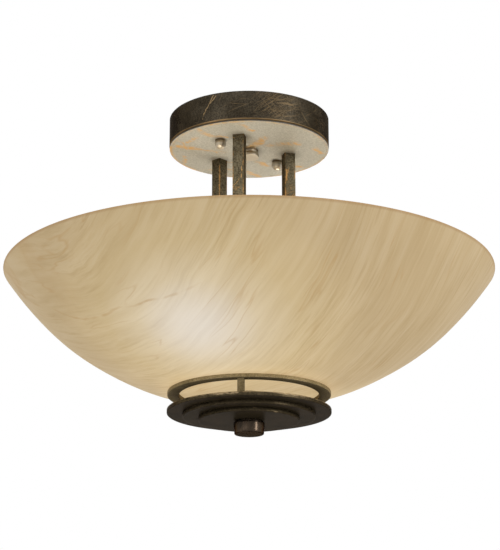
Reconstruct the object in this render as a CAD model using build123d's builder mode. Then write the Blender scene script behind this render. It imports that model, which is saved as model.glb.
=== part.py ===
from build123d import *
from math import cos, radians, sin
import os

# Semi flush ceiling light: a glass bowl under a round canopy, carried by three square tubes.
# Millimetres. The origin is the middle of the ceiling plane, +Z is up, so the light hangs below zero.
# X runs along the crossbar and its two mounting studs.

# Fits
thread_clearance = 0.05      # radial, between a threaded rod or tube and what screws on it
plain_clearance = 0.4        # radial, around a stud, nipple or tube that only passes through
weld_clearance = 0.15        # each side of a square tube in its punched hole
lamp_thread_clearance = 0.1  # radial, lamp cap in the screw shell
contact_gap = 0.3            # lamp cap to the spring contact

# Canopy: a rolled band with a flat plate under it
canopy_diameter = 135.3
canopy_height = 26.6
band_wall = 1.5
band_lip = 0.6
plate_thickness = 2.0
plate_inset = 0.3            # the plate's edge stands this far inside the band
groove_height = 0.8          # shadow groove between the band and the plate
groove_depth = 0.8
edge_break = 0.4             # rounding of a sheet metal edge

# Crossbar and what hangs the canopy on it
crossbar_length = 112.0
crossbar_width = 22.0
crossbar_thickness = 2.5
crossbar_corner = 5.5
box_slot_spacing = 88.9
box_slot_length = 12.0
box_slot_width = 5.0
stud_spacing = 70.0
stud_diameter = 4.0
small_nut_across_flats = 7.0
small_nut_height = 3.2
ball_nut_diameter = 9.5
ball_collar_diameter = 8.4
ball_collar_height = 1.0
ball_middle_drop = 3.6       # the ball's middle, under the plate
ball_thread_depth = 5.0
ground_screw_offset = 14.0
ground_head_diameter = 7.6
ground_head_height = 2.4
ground_head_rounding = 0.6
ground_slot_width = 1.0
ground_slot_depth = 0.8
ground_screw_diameter = 4.0

# Cap that closes the middle of the canopy plate
cap_base_diameter = 15.6
cap_waist_diameter = 14.6
cap_end_diameter = 16.6
cap_height = 6.4
cap_waist_drop = 2.4
cap_end_height = 1.8
cap_thread_depth = 4.4

# Threaded lamp tube: the nipple at the canopy and the long tube through the bowl
pipe_diameter = 9.8
pipe_bore = 6.0
pipe_nut_across_flats = 14.0
pipe_nut_height = 4.0
nipple_above_nut = 3.0

# Support rods: square tubes welded in both plates
rod_count = 3
rod_first_azimuth = 90.0
rod_circle_radius = 35.0
rod_side = 9.5
rod_wall = 1.5
rod_corner = 0.7
rod_stub = 2.0               # how far a rod stands through each plate
rod_hole_side = rod_side + 2 * weld_clearance

# Hub plate, just under the level of the glass rim
rim_drop = 137.9             # ceiling to the glass rim
hub_below_rim = 1.6
hub_diameter = 92.0
hub_thickness = 3.0
tube_above_hub_nut = 3.0

# Glass bowl
bowl_diameter = 406.4
bowl_depth = 98.6
glass_wall = 5.0
bowl_flat_radius = 50.0
bowl_hole_clearance = 1.1    # radial, around the centre tube
rim_slope = 53.9             # degrees, outer wall at the rim
rim_rounding = 0.7
# outline between the flat and the rim: share of the run out, share of the rise
bowl_outline = ((0.2415, 0.0677), (0.457, 0.2235), (0.718, 0.5035), (0.881, 0.7634))

# Seat of the bowl on the long tube
gasket_diameter = 38.0
gasket_thickness = 1.5
seat_washer_diameter = 40.0
seat_washer_thickness = 1.5

# Trim under the bowl: ring, posts and three stepped discs
pad_thickness = 0.6
pad_width = 3.4
pad_inset = 0.4
ring_outer_diameter = 133.3
ring_inner_diameter = 114.1
ring_thickness = 3.0
post_count = 3
post_side = 5.4
post_length = 11.5
post_lag = 7.5               # degrees past the rods
disc_diameters = (133.9, 108.0, 82.0)
disc_thickness = 3.2
disc_edge = 0.5

# Finial and its washer
finial_washer_diameter = 23.0
finial_washer_thickness = 0.9
finial_top_diameter = 25.5
finial_bottom_diameter = 24.0
finial_height = 9.6
finial_edge = 0.7
finial_thread_depth = 7.2
finial_thread_end_gap = 0.4

# Lampholders under the hub plate, pointing outwards in opposite directions
lamp_azimuths = (15.0, 195.0)
bracket_thickness = 1.6
bracket_width = 16.0
bracket_inner_radius = 11.4
bracket_end_gap = 1.85       # lets the bracket's corners pass inside the rods
bracket_screw_station = 22.7  # from the light's middle
bracket_below_axis = 9.0
bracket_screw_diameter = 3.0
bracket_screw_head_diameter = 5.6
bracket_screw_head_height = 2.0
bracket_screw_head_rounding = 0.7
holder_diameter = 37.0
holder_length = 38.0
holder_floor = 10.0
holder_under_bracket = 0.9
holder_rounding = 1.2
shell_wall = 0.6
shell_length = 22.0
shell_back_gap = 1.0
contact_length = 16.0
contact_width = 8.0
contact_corner = 2.0
contact_thickness = 0.8

# Leads: from the splices in the canopy, down inside the first rod, to the sides of the lampholders
lead_diameter = 2.2
lead_gap = 0.4               # between neighbouring leads in the rod
lead_pitch = lead_diameter + lead_gap
lead_bend_radius = 4.0
lead_sweep_radius = 6.0
lead_turn_drop = 10.6        # canopy plate's inner face up to the lower leads' level
lead_entry_depth = 2.6
lead_hole_clearance = 0.15
lead_entry_station = 5.0     # from the lampholder's back face
lead_entry_rise = 3.0        # above and below the lampholder's axis
lead_approach = 9.5          # straight run before the lampholder's side
splice_mouth = 14.0          # from the rod's middle
splice_length = 20.0
splice_mouth_diameter = 10.0
splice_end_diameter = 7.0
splice_bore_diameter = 6.0
splice_depth = 10.0
splice_lead_depth = 8.0

# Lamps
cap_diameter = 26.0
cap_tip_diameter = 8.0
cap_tip_height = 1.4
cap_insulator_height = 3.0
cap_thread_length = 18.5
cap_wall = 0.6
lamp_diameter = 60.0
lamp_length = 104.0
lamp_glass_wall = 1.0
lamp_neck_in_cap = 2.5

# Levels, from the ceiling down
plate_top = plate_thickness - canopy_height
plate_bottom = -canopy_height
hub_top = -(rim_drop + hub_below_rim)
hub_bottom = hub_top - hub_thickness
rim_level = -rim_drop
bowl_bottom = rim_level - bowl_depth
bowl_floor = bowl_bottom + glass_wall
ring_top = bowl_bottom - pad_thickness
ring_bottom = ring_top - ring_thickness
stack_top = ring_bottom - post_length
stack_bottom = stack_top - disc_thickness * len(disc_diameters)
finial_top = stack_bottom - finial_washer_thickness
finial_bottom = finial_top - finial_height
tube_top = hub_top + pipe_nut_height + tube_above_hub_nut
tube_bottom = finial_top - finial_thread_depth + finial_thread_end_gap
holder_axis = hub_bottom - bracket_thickness - holder_under_bracket - holder_diameter / 2

# Stations along a lampholder, from the light's middle outwards
holder_back = bracket_inner_radius + bracket_thickness
holder_floor_station = holder_back + holder_floor
lamp_start = holder_floor_station + contact_thickness + contact_gap

os.makedirs("parts", exist_ok=True)


def outward(azimuth):
    """Unit vector in the ceiling plane."""
    return Vector(cos(radians(azimuth)), sin(radians(azimuth)), 0)


def lamp_section(azimuth):
    """Plane that holds a lampholder's axis: x is up from the axis, y runs outwards along it."""
    side = outward(azimuth + 90)
    return Plane(origin=(0, 0, holder_axis), x_dir=(0, 0, 1), z_dir=side)


def lamp_axis(azimuth):
    return Axis((0, 0, holder_axis), outward(azimuth))


def lamp_cross_plane(azimuth, station):
    """Plane square to a lampholder's axis, at a distance from the light's middle; its x is up."""
    centre = outward(azimuth) * station + Vector(0, 0, holder_axis)
    return Plane(origin=centre, x_dir=(0, 0, 1), z_dir=outward(azimuth))


# All leads use the first rod, so they reach both lampholders from the side where that rod is
lead_side = outward(lamp_azimuths[0] + 90)
lead_station = holder_back + lead_entry_station


def lead_entry_plane(azimuth):
    """Plane on a lampholder's side where its leads go in; it faces the first rod and its y is up."""
    centre = outward(azimuth) * lead_station + lead_side * holder_diameter / 2
    centre = centre + Vector(0, 0, holder_axis)
    return Plane(origin=centre, x_dir=lead_side.cross(Vector(0, 0, 1)) * -1, z_dir=lead_side)


# Crossbar: a steel strap against the ceiling, slotted for the box and tapped for the studs
with BuildPart() as crossbar:
    with BuildSketch(Plane.XY.offset(-crossbar_thickness)):
        RectangleRounded(crossbar_length, crossbar_width, crossbar_corner)
        with GridLocations(box_slot_spacing, 0, 2, 1):
            SlotOverall(box_slot_length, box_slot_width, mode=Mode.SUBTRACT)
        with GridLocations(stud_spacing, 0, 2, 1):
            Circle(stud_diameter / 2 + thread_clearance, mode=Mode.SUBTRACT)
        with Locations((ground_screw_offset, 0)):
            Circle(ground_screw_diameter / 2 + thread_clearance, mode=Mode.SUBTRACT)
    extrude(amount=crossbar_thickness)
crossbar.part.label = "crossbar"
export_step(crossbar.part, "parts/crossbar.step")

# Ground screw, driven up into the crossbar from below
with BuildPart() as ground_screw:
    with BuildSketch(Plane.XY.offset(-crossbar_thickness)):
        with Locations((ground_screw_offset, 0)):
            Circle(ground_head_diameter / 2)
    extrude(amount=-ground_head_height)
    fillet(ground_screw.edges().sort_by(Axis.Z)[0], ground_head_rounding)
    with BuildSketch(Plane.XY.offset(-crossbar_thickness)):
        with Locations((ground_screw_offset, 0)):
            Circle(ground_screw_diameter / 2)
    extrude(amount=crossbar_thickness - thread_clearance)
    with BuildSketch(Plane.XY.offset(-crossbar_thickness - ground_head_height)):
        with Locations((ground_screw_offset, 0)):
            Rectangle(ground_head_diameter, ground_slot_width)
    extrude(amount=ground_slot_depth, mode=Mode.SUBTRACT)
ground_screw.part.label = "ground_screw"
export_step(ground_screw.part, "parts/ground_screw.step")

# Mounting studs, from the crossbar down into the ball nuts
stud_top = -thread_clearance
stud_bottom = plate_bottom - ball_thread_depth
with BuildPart() as mounting_studs:
    with BuildSketch(Plane.XY.offset(stud_bottom)):
        with GridLocations(stud_spacing, 0, 2, 1):
            Circle(stud_diameter / 2)
    extrude(amount=stud_top - stud_bottom)
mounting_studs.part.label = "mounting_studs"
export_step(mounting_studs.part, "parts/mounting_studs.step")

# Hex nuts that lock the studs under the crossbar
with BuildPart() as stud_nuts:
    with BuildSketch(Plane.XY.offset(-crossbar_thickness)):
        with GridLocations(stud_spacing, 0, 2, 1):
            RegularPolygon(small_nut_across_flats / 2, 6, major_radius=False)
            Circle(stud_diameter / 2 + thread_clearance, mode=Mode.SUBTRACT)
    extrude(amount=-small_nut_height)
stud_nuts.part.label = "stud_nuts"
export_step(stud_nuts.part, "parts/stud_nuts.step")

# Ball nuts: a ball on a short collar, drawn up against the canopy plate
with BuildPart() as ball_nuts:
    with BuildSketch(Plane.XY.offset(plate_bottom)):
        with GridLocations(stud_spacing, 0, 2, 1):
            Circle(ball_collar_diameter / 2)
    extrude(amount=-ball_collar_height)
    with Locations(Plane.XY.offset(plate_bottom - ball_middle_drop)):
        with GridLocations(stud_spacing, 0, 2, 1):
            Sphere(ball_nut_diameter / 2)
    with BuildSketch(Plane.XY.offset(plate_bottom)):
        with GridLocations(stud_spacing, 0, 2, 1):
            Circle(stud_diameter / 2 + thread_clearance)
    extrude(amount=-(ball_thread_depth + thread_clearance), mode=Mode.SUBTRACT)
    split(bisect_by=Plane.XY.offset(plate_bottom), keep=Keep.BOTTOM)
ball_nuts.part.label = "ball_nuts"
export_step(ball_nuts.part, "parts/ball_nuts.step")

# Canopy band: the rolled strip against the ceiling, open at the top
with BuildPart() as canopy_band:
    with BuildSketch(Plane.XY.offset(plate_top)):
        Circle(canopy_diameter / 2)
        Circle(canopy_diameter / 2 - band_wall, mode=Mode.SUBTRACT)
    extrude(amount=-plate_top)
    chamfer(canopy_band.edges().group_by(Axis.Z)[0].sort_by(SortBy.LENGTH)[-1], band_lip)
canopy_band.part.label = "canopy_band"
export_step(canopy_band.part, "parts/canopy_band.step")

# Canopy plate: closes the band from below, with a shadow groove above its edge
plate_radius = canopy_diameter / 2 - plate_inset
with BuildPart() as canopy_plate:
    with BuildSketch(Plane.XY.offset(plate_bottom)):
        Circle(plate_radius)
    extrude(amount=plate_thickness - groove_height)
    fillet(canopy_plate.edges().sort_by(Axis.Z)[0], edge_break)
    with BuildSketch(Plane.XY.offset(plate_top)):
        Circle(plate_radius - groove_depth)
    extrude(amount=-plate_thickness)
    with BuildSketch(Plane.XY.offset(plate_bottom)):
        with GridLocations(stud_spacing, 0, 2, 1):
            Circle(stud_diameter / 2 + plain_clearance)
        with PolarLocations(rod_circle_radius, rod_count, rod_first_azimuth):
            Rectangle(rod_hole_side, rod_hole_side)
        Circle(pipe_diameter / 2 + plain_clearance)
    extrude(amount=plate_thickness, mode=Mode.SUBTRACT)
canopy_plate.part.label = "canopy_plate"
export_step(canopy_plate.part, "parts/canopy_plate.step")

# Centre cap: a turned button with a slight waist, screwed on the nipple
with BuildPart() as center_cap:
    with BuildSketch(Plane.XZ):
        with BuildLine():
            Polyline(
                (0, plate_bottom),
                (cap_base_diameter / 2, plate_bottom),
                (cap_waist_diameter / 2, plate_bottom - cap_waist_drop),
                (cap_end_diameter / 2, plate_bottom - cap_height + cap_end_height),
                (cap_end_diameter / 2, plate_bottom - cap_height + edge_break),
                (cap_end_diameter / 2 - edge_break, plate_bottom - cap_height),
                (0, plate_bottom - cap_height),
                close=True,
            )
        make_face()
    revolve(axis=Axis.Z)
    with BuildSketch(Plane.XY.offset(plate_bottom)):
        Circle(pipe_diameter / 2 + thread_clearance)
    extrude(amount=-(cap_thread_depth + thread_clearance), mode=Mode.SUBTRACT)
center_cap.part.label = "center_cap"
export_step(center_cap.part, "parts/center_cap.step")

# Nipple: short threaded tube through the canopy plate, with its lock nut
with BuildPart() as center_nipple:
    with BuildSketch(Plane.XY.offset(plate_bottom - cap_thread_depth)):
        Circle(pipe_diameter / 2)
        Circle(pipe_bore / 2, mode=Mode.SUBTRACT)
    extrude(amount=cap_thread_depth + plate_thickness + pipe_nut_height + nipple_above_nut)
center_nipple.part.label = "center_nipple"
export_step(center_nipple.part, "parts/center_nipple.step")

with BuildPart() as nipple_nut:
    with BuildSketch(Plane.XY.offset(plate_top)):
        RegularPolygon(pipe_nut_across_flats / 2, 6, major_radius=False)
        Circle(pipe_diameter / 2 + thread_clearance, mode=Mode.SUBTRACT)
    extrude(amount=pipe_nut_height)
nipple_nut.part.label = "nipple_nut"
export_step(nipple_nut.part, "parts/nipple_nut.step")

# Support rods: square tubes through the canopy plate and the hub plate
rod_bottom = hub_bottom - rod_stub
rod_length = plate_top + rod_stub - rod_bottom
for number in range(rod_count):
    azimuth = rod_first_azimuth + number * 360 / rod_count
    with BuildPart() as support_rod:
        with BuildSketch(Plane.XY.offset(rod_bottom)):
            with PolarLocations(rod_circle_radius, 1, azimuth):
                RectangleRounded(rod_side, rod_side, rod_corner)
                Rectangle(rod_side - 2 * rod_wall, rod_side - 2 * rod_wall, mode=Mode.SUBTRACT)
        extrude(amount=rod_length)
    support_rod.part.label = f"support_rod_{number + 1}"
    export_step(support_rod.part, f"parts/support_rod_{number + 1}.step")

# Hub plate: steel disc welded on the rods' lower ends
bracket_screw_points = [outward(azimuth) * bracket_screw_station for azimuth in lamp_azimuths]
with BuildPart() as hub_plate:
    with BuildSketch(Plane.XY.offset(hub_bottom)):
        Circle(hub_diameter / 2)
        with PolarLocations(rod_circle_radius, rod_count, rod_first_azimuth):
            Rectangle(rod_hole_side, rod_hole_side, mode=Mode.SUBTRACT)
        with Locations(*[(point.X, point.Y) for point in bracket_screw_points]):
            Circle(bracket_screw_diameter / 2 + thread_clearance, mode=Mode.SUBTRACT)
        Circle(pipe_diameter / 2 + plain_clearance, mode=Mode.SUBTRACT)
    extrude(amount=hub_thickness)
    outer_edges = hub_plate.edges().filter_by(GeomType.CIRCLE).sort_by(SortBy.RADIUS)[-2:]
    fillet(outer_edges, edge_break)
hub_plate.part.label = "hub_plate"
export_step(hub_plate.part, "parts/hub_plate.step")

# Centre tube: threaded lamp tube from the hub plate through the bowl and the discs to the finial
with BuildPart() as center_tube:
    with BuildSketch(Plane.XY.offset(tube_bottom)):
        Circle(pipe_diameter / 2)
        Circle(pipe_bore / 2, mode=Mode.SUBTRACT)
    extrude(amount=tube_top - tube_bottom)
center_tube.part.label = "center_tube"
export_step(center_tube.part, "parts/center_tube.step")

# Two lock nuts hold the tube in the hub plate, one on each side
with BuildPart() as tube_nuts:
    for level in (hub_top, hub_bottom - pipe_nut_height):
        with BuildSketch(Plane.XY.offset(level)):
            RegularPolygon(pipe_nut_across_flats / 2, 6, major_radius=False)
            Circle(pipe_diameter / 2 + thread_clearance, mode=Mode.SUBTRACT)
        extrude(amount=pipe_nut_height)
tube_nuts.part.label = "tube_nuts"
export_step(tube_nuts.part, "parts/tube_nuts.step")

# Seat of the bowl: a rubber gasket, a steel washer and a nut, all inside the glass
gasket_top = bowl_floor + gasket_thickness
with BuildPart() as seat_gasket:
    with BuildSketch(Plane.XY.offset(bowl_floor)):
        Circle(gasket_diameter / 2)
        Circle(pipe_diameter / 2 + thread_clearance, mode=Mode.SUBTRACT)
    extrude(amount=gasket_thickness)
seat_gasket.part.label = "seat_gasket"
export_step(seat_gasket.part, "parts/seat_gasket.step")

with BuildPart() as seat_washer:
    with BuildSketch(Plane.XY.offset(gasket_top)):
        Circle(seat_washer_diameter / 2)
        Circle(pipe_diameter / 2 + thread_clearance, mode=Mode.SUBTRACT)
    extrude(amount=seat_washer_thickness)
seat_washer.part.label = "seat_washer"
export_step(seat_washer.part, "parts/seat_washer.step")

with BuildPart() as seat_nut:
    with BuildSketch(Plane.XY.offset(gasket_top + seat_washer_thickness)):
        RegularPolygon(pipe_nut_across_flats / 2, 6, major_radius=False)
        Circle(pipe_diameter / 2 + thread_clearance, mode=Mode.SUBTRACT)
    extrude(amount=pipe_nut_height)
seat_nut.part.label = "seat_nut"
export_step(seat_nut.part, "parts/seat_nut.step")

# Glass bowl: a slumped sheet with a flat bottom, an open top and a hole for the centre tube
bowl_radius = bowl_diameter / 2
bowl_hole_radius = pipe_diameter / 2 + bowl_hole_clearance
run = bowl_radius - bowl_flat_radius
outline_points = [
    (bowl_flat_radius + run * across, bowl_bottom + bowl_depth * up) for across, up in bowl_outline
]
with BuildPart() as glass_bowl:
    with BuildSketch(Plane.XZ):
        with BuildLine():
            Line((0, rim_level), (0, bowl_bottom))
            Line((0, bowl_bottom), (bowl_flat_radius, bowl_bottom))
            Spline(
                (bowl_flat_radius, bowl_bottom),
                *outline_points,
                (bowl_radius, rim_level),
                tangents=((1, 0), (cos(radians(rim_slope)), sin(radians(rim_slope)))),
            )
            Line((bowl_radius, rim_level), (0, rim_level))
        make_face()
    revolve(axis=Axis.Z)
    offset(amount=-glass_wall, openings=glass_bowl.faces().sort_by(Axis.Z)[-1])
    fillet(glass_bowl.edges().group_by(Axis.Z)[-1], rim_rounding)
    with BuildSketch(Plane.XY.offset(bowl_bottom)):
        Circle(bowl_hole_radius)
    extrude(amount=glass_wall, mode=Mode.SUBTRACT)
glass_bowl.part.label = "glass_bowl"
export_step(glass_bowl.part, "parts/glass_bowl.step")

# Felt pad between the trim ring and the glass
pad_inner_radius = ring_inner_diameter / 2 + pad_inset
with BuildPart() as ring_pad:
    with BuildSketch(Plane.XY.offset(ring_top)):
        Circle(pad_inner_radius + pad_width)
        Circle(pad_inner_radius, mode=Mode.SUBTRACT)
    extrude(amount=pad_thickness)
ring_pad.part.label = "ring_pad"
export_step(ring_pad.part, "parts/ring_pad.step")

# Trim ring: flat steel ring that bears on the glass through the pad
with BuildPart() as trim_ring:
    with BuildSketch(Plane.XY.offset(ring_bottom)):
        Circle(ring_outer_diameter / 2)
        Circle(ring_inner_diameter / 2, mode=Mode.SUBTRACT)
    extrude(amount=ring_thickness)
    fillet(trim_ring.edges().filter_by(GeomType.CIRCLE), edge_break)
trim_ring.part.label = "trim_ring"
export_step(trim_ring.part, "parts/trim_ring.step")

# Square posts that carry the ring above the top disc
post_circle_radius = (ring_outer_diameter + ring_inner_diameter) / 4
with BuildPart() as ring_posts:
    with BuildSketch(Plane.XY.offset(stack_top)):
        with PolarLocations(post_circle_radius, post_count, rod_first_azimuth + post_lag):
            Rectangle(post_side, post_side)
    extrude(amount=post_length)
ring_posts.part.label = "ring_posts"
export_step(ring_posts.part, "parts/ring_posts.step")

# Three stepped discs, the widest on top
for number, diameter in enumerate(disc_diameters):
    disc_bottom = stack_top - (number + 1) * disc_thickness
    with BuildPart() as trim_disc:
        with BuildSketch(Plane.XY.offset(disc_bottom)):
            Circle(diameter / 2)
        extrude(amount=disc_thickness)
        fillet(trim_disc.edges(), disc_edge)
        with BuildSketch(Plane.XY.offset(disc_bottom)):
            Circle(pipe_diameter / 2 + plain_clearance)
        extrude(amount=disc_thickness, mode=Mode.SUBTRACT)
    trim_disc.part.label = f"trim_disc_{number + 1}"
    export_step(trim_disc.part, f"parts/trim_disc_{number + 1}.step")

# Finial washer and finial: the turned knob that clamps the discs, the ring and the glass
with BuildPart() as finial_washer:
    with BuildSketch(Plane.XY.offset(finial_top)):
        Circle(finial_washer_diameter / 2)
        Circle(pipe_diameter / 2 + plain_clearance, mode=Mode.SUBTRACT)
    extrude(amount=finial_washer_thickness)
finial_washer.part.label = "finial_washer"
export_step(finial_washer.part, "parts/finial_washer.step")

with BuildPart() as finial:
    with BuildSketch(Plane.XY.offset(finial_top)):
        Circle(finial_top_diameter / 2)
    with BuildSketch(Plane.XY.offset(finial_bottom)):
        Circle(finial_bottom_diameter / 2)
    loft()
    fillet(finial.edges().filter_by(GeomType.CIRCLE), finial_edge)
    with BuildSketch(Plane.XY.offset(finial_top)):
        Circle(pipe_diameter / 2 + thread_clearance)
    extrude(amount=-finial_thread_depth, mode=Mode.SUBTRACT)
finial.part.label = "finial"
export_step(finial.part, "parts/finial.step")

# Lampholders, each with its bracket, body, screw shell and centre contact
shell_inner_radius = cap_diameter / 2 + lamp_thread_clearance
shell_outer_radius = shell_inner_radius + shell_wall
bracket_rise = hub_bottom - holder_axis
bracket_outer_radius = rod_circle_radius - rod_side / 2 - bracket_end_gap
for number, azimuth in enumerate(lamp_azimuths, start=1):
    with BuildPart() as lamp_bracket:
        with BuildSketch(lamp_section(azimuth)):
            with BuildLine():
                Polyline(
                    (bracket_rise, bracket_inner_radius),
                    (-bracket_below_axis, bracket_inner_radius),
                    (-bracket_below_axis, holder_back),
                    (bracket_rise - bracket_thickness, holder_back),
                    (bracket_rise - bracket_thickness, bracket_outer_radius),
                    (bracket_rise, bracket_outer_radius),
                    close=True,
                )
            make_face()
        extrude(amount=bracket_width / 2, both=True)
        with BuildSketch(Plane.XY.offset(hub_bottom)):
            with Locations(outward(azimuth) * bracket_screw_station):
                Circle(bracket_screw_diameter / 2 + thread_clearance)
        extrude(amount=-bracket_thickness, mode=Mode.SUBTRACT)
    lamp_bracket.part.label = f"lamp_bracket_{number}"
    export_step(lamp_bracket.part, f"parts/lamp_bracket_{number}.step")

    with BuildPart() as lampholder:
        with BuildSketch(lamp_cross_plane(azimuth, holder_back)):
            Circle(holder_diameter / 2)
        extrude(amount=holder_length)
        fillet(lampholder.edges().filter_by(GeomType.CIRCLE), holder_rounding)
        with BuildSketch(lamp_cross_plane(azimuth, holder_floor_station)):
            Circle(shell_outer_radius + thread_clearance)
        extrude(amount=holder_length, mode=Mode.SUBTRACT)
        with BuildSketch(lead_entry_plane(azimuth)):
            with GridLocations(0, 2 * lead_entry_rise, 1, 2):
                Circle(lead_diameter / 2 + lead_hole_clearance)
        extrude(amount=-(lead_entry_depth + lead_hole_clearance), mode=Mode.SUBTRACT)
    lampholder.part.label = f"lampholder_{number}"
    export_step(lampholder.part, f"parts/lampholder_{number}.step")

    with BuildPart() as screw_shell:
        with BuildSketch(lamp_cross_plane(azimuth, holder_floor_station + shell_back_gap)):
            Circle(shell_outer_radius)
            Circle(shell_inner_radius, mode=Mode.SUBTRACT)
        extrude(amount=shell_length)
    screw_shell.part.label = f"screw_shell_{number}"
    export_step(screw_shell.part, f"parts/screw_shell_{number}.step")

    with BuildPart() as center_contact:
        with BuildSketch(lamp_cross_plane(azimuth, holder_floor_station)):
            RectangleRounded(contact_length, contact_width, contact_corner)
        extrude(amount=contact_thickness)
    center_contact.part.label = f"center_contact_{number}"
    export_step(center_contact.part, f"parts/center_contact_{number}.step")

# Screws that hold the brackets, driven from above the hub plate
with BuildPart() as bracket_screws:
    with BuildSketch(Plane.XY.offset(hub_bottom - bracket_thickness)):
        with Locations(*[(point.X, point.Y) for point in bracket_screw_points]):
            Circle(bracket_screw_diameter / 2)
    extrude(amount=bracket_thickness + hub_thickness)
    with BuildSketch(Plane.XY.offset(hub_top)):
        with Locations(*[(point.X, point.Y) for point in bracket_screw_points]):
            Circle(bracket_screw_head_diameter / 2)
    extrude(amount=bracket_screw_head_height)
    fillet(bracket_screws.edges().group_by(Axis.Z)[-1], bracket_screw_head_rounding)
bracket_screws.part.label = "bracket_screws"
export_step(bracket_screws.part, "parts/bracket_screws.step")


# Lamps: a brass screw cap, and a frosted glass envelope with its neck cemented in the cap
cap_shoulder = lamp_start + cap_tip_height + cap_insulator_height
cap_end = cap_shoulder + cap_thread_length
neck_start = cap_end - lamp_neck_in_cap
neck_socket_radius = cap_diameter / 2 - cap_wall
neck_radius = neck_socket_radius - thread_clearance
globe_radius = lamp_diameter / 2
globe_station = lamp_start + lamp_length - globe_radius
for number, azimuth in enumerate(lamp_azimuths, start=1):
    with BuildPart() as lamp_cap:
        with BuildSketch(lamp_section(azimuth)):
            with BuildLine():
                Polyline(
                    (0, lamp_start),
                    (cap_tip_diameter / 2, lamp_start),
                    (cap_tip_diameter / 2, lamp_start + cap_tip_height),
                    (cap_diameter / 2, cap_shoulder),
                    (cap_diameter / 2, cap_end),
                    (neck_socket_radius, cap_end),
                    (neck_socket_radius, neck_start),
                    (0, neck_start),
                    close=True,
                )
            make_face()
        revolve(axis=lamp_axis(azimuth))
    lamp_cap.part.label = f"lamp_cap_{number}"
    export_step(lamp_cap.part, f"parts/lamp_cap_{number}.step")

    with BuildPart() as lamp_glass:
        with BuildSketch(lamp_section(azimuth)):
            with BuildLine():
                Polyline((0, neck_start), (neck_radius, neck_start), (neck_radius, cap_end))
                Spline(
                    (neck_radius, cap_end),
                    (globe_radius, globe_station),
                    tangents=((0, 1), (0, 1)),
                )
                CenterArc((0, globe_station), globe_radius, 0, 90)
                Line((0, globe_station + globe_radius), (0, neck_start))
            make_face()
        revolve(axis=lamp_axis(azimuth))
        neck_face = lamp_glass.faces().sort_by(lamp_axis(azimuth))[0]
        offset(amount=-lamp_glass_wall, openings=neck_face)
    lamp_glass.part.label = f"lamp_glass_{number}"
    export_step(lamp_glass.part, f"parts/lamp_glass_{number}.step")

# Leads: one hot and one neutral for each lampholder. The hot pair turns to +X in the canopy and the
# neutral pair to -X, each pair one above the other with a common bend centre.
lower_level = plate_top + lead_turn_drop
bore_y = rod_circle_radius
for label, towards, entry_rise in (("hot_leads", 1, -1), ("neutral_leads", -1, 1)):
    lane_y = bore_y + towards * lead_pitch / 2
    entry_level = holder_axis + entry_rise * lead_entry_rise
    with BuildPart() as leads:
        for azimuth, column in zip(lamp_azimuths, (1, -1)):
            lane_x = column * lead_pitch / 2
            outer = column != towards
            level = lower_level + (lead_pitch if outer else 0)
            top_radius = lead_bend_radius + (lead_pitch if outer else 0)
            approach = holder_diameter / 2 + lead_approach
            corner = outward(azimuth) * lead_station + lead_side * approach
            end = outward(azimuth) * lead_station
            end = end + lead_side * (holder_diameter / 2 - lead_entry_depth)
            with BuildLine() as route:
                FilletPolyline(
                    (towards * (splice_mouth + splice_lead_depth), lane_y, level),
                    (lane_x, lane_y, level),
                    (lane_x, lane_y, entry_level),
                    (corner.X, corner.Y, entry_level),
                    (end.X, end.Y, entry_level),
                    radius=[top_radius, lead_bend_radius, lead_sweep_radius],
                )
            with BuildSketch(Plane(origin=route.line @ 0, z_dir=route.line % 0)):
                Circle(lead_diameter / 2)
            sweep()
    leads.part.label = label
    export_step(leads.part, f"parts/{label}.step")

# Splices: the twist-on connectors that join each pair
with BuildPart() as splices:
    for towards in (1, -1):
        lane_y = bore_y + towards * lead_pitch / 2
        middle = (towards * splice_mouth, lane_y, lower_level + lead_pitch / 2)
        mouth = Plane(origin=middle, x_dir=(0, 1, 0), z_dir=(towards, 0, 0))
        with BuildSketch(mouth):
            Circle(splice_mouth_diameter / 2)
        with BuildSketch(mouth.offset(splice_length)):
            Circle(splice_end_diameter / 2)
        loft()
        with BuildSketch(mouth):
            Circle(splice_bore_diameter / 2)
        extrude(amount=splice_depth, mode=Mode.SUBTRACT)
splices.part.label = "splices"
export_step(splices.part, "parts/splices.step")
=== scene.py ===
import math

import bmesh
import bpy
from mathutils import Matrix, Vector


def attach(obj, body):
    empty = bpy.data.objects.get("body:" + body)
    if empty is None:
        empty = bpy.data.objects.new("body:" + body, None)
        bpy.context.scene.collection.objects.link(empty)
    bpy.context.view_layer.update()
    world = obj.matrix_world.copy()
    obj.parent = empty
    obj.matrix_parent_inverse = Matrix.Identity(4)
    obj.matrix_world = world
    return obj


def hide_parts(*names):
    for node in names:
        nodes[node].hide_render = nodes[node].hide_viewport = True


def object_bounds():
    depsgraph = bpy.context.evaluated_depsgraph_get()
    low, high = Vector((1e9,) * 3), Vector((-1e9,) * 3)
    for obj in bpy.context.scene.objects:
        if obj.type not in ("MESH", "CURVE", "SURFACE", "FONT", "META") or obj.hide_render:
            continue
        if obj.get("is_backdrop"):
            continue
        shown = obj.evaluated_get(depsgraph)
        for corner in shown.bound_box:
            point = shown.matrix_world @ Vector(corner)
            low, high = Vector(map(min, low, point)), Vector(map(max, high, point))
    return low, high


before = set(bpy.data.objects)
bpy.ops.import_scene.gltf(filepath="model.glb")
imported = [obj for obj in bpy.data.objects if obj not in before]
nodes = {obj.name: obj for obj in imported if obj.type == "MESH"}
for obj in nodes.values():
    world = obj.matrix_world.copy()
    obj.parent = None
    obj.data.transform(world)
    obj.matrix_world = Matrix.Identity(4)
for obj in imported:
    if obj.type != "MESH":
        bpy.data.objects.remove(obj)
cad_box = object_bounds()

# Crossbar. A zinc plated steel strap, punched and tapped, that the ceiling box's two screws hold up.
# The canopy, the rods and everything under them hang from it. Its plating is a little cloudy, with
# fine rolling lines along the strap.
mm = 0.001


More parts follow.
